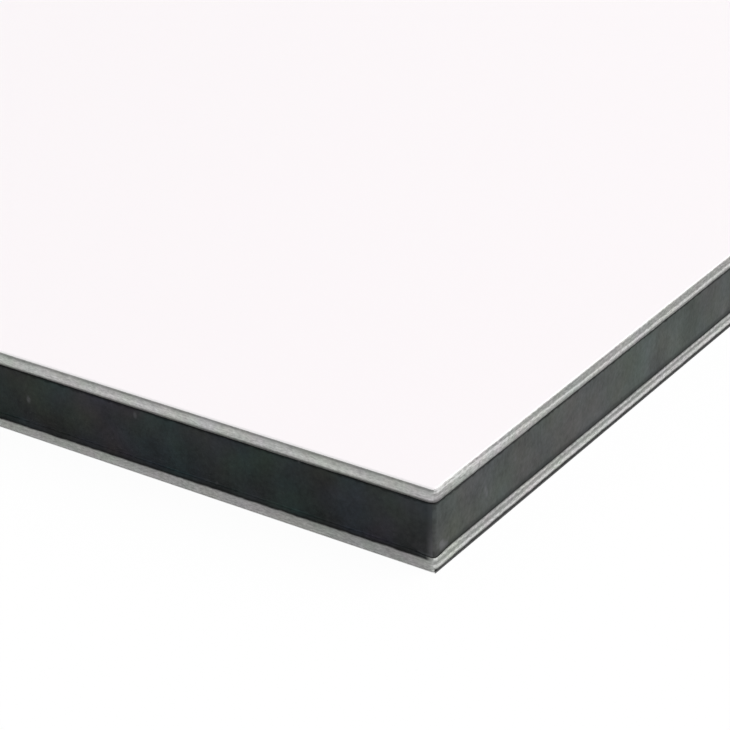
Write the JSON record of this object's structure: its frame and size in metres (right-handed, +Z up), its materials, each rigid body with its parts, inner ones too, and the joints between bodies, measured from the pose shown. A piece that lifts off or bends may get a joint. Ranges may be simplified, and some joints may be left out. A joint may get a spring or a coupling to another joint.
{
  "type": "aluminium composite panel",
  "caption": "Flat sheet of two thin aluminium skins on a black plastic core, white on its front face, with bare cut edges.",
  "frame": {"origin": "middle of the sheet's underside, the face of the back skin that lies on the floor", "axes": "+X along the sheet's length, +Y across its width, +Z up through the painted front face"},
  "size_m": [2.44, 1.22, 0.003],
  "materials": {
    "front_skin": "white satin coil coat on the outer face, bare metal on the cut edges",
    "core": "black polyethylene, smooth saw-cut or sheared face",
    "back_skin": "mill finish with a thin clear wash coat"
  },
  "bodies": {
    "root": {"front_skin": "front_skin", "core": "core", "back_skin": "back_skin"}
  },
  "joints": []
}
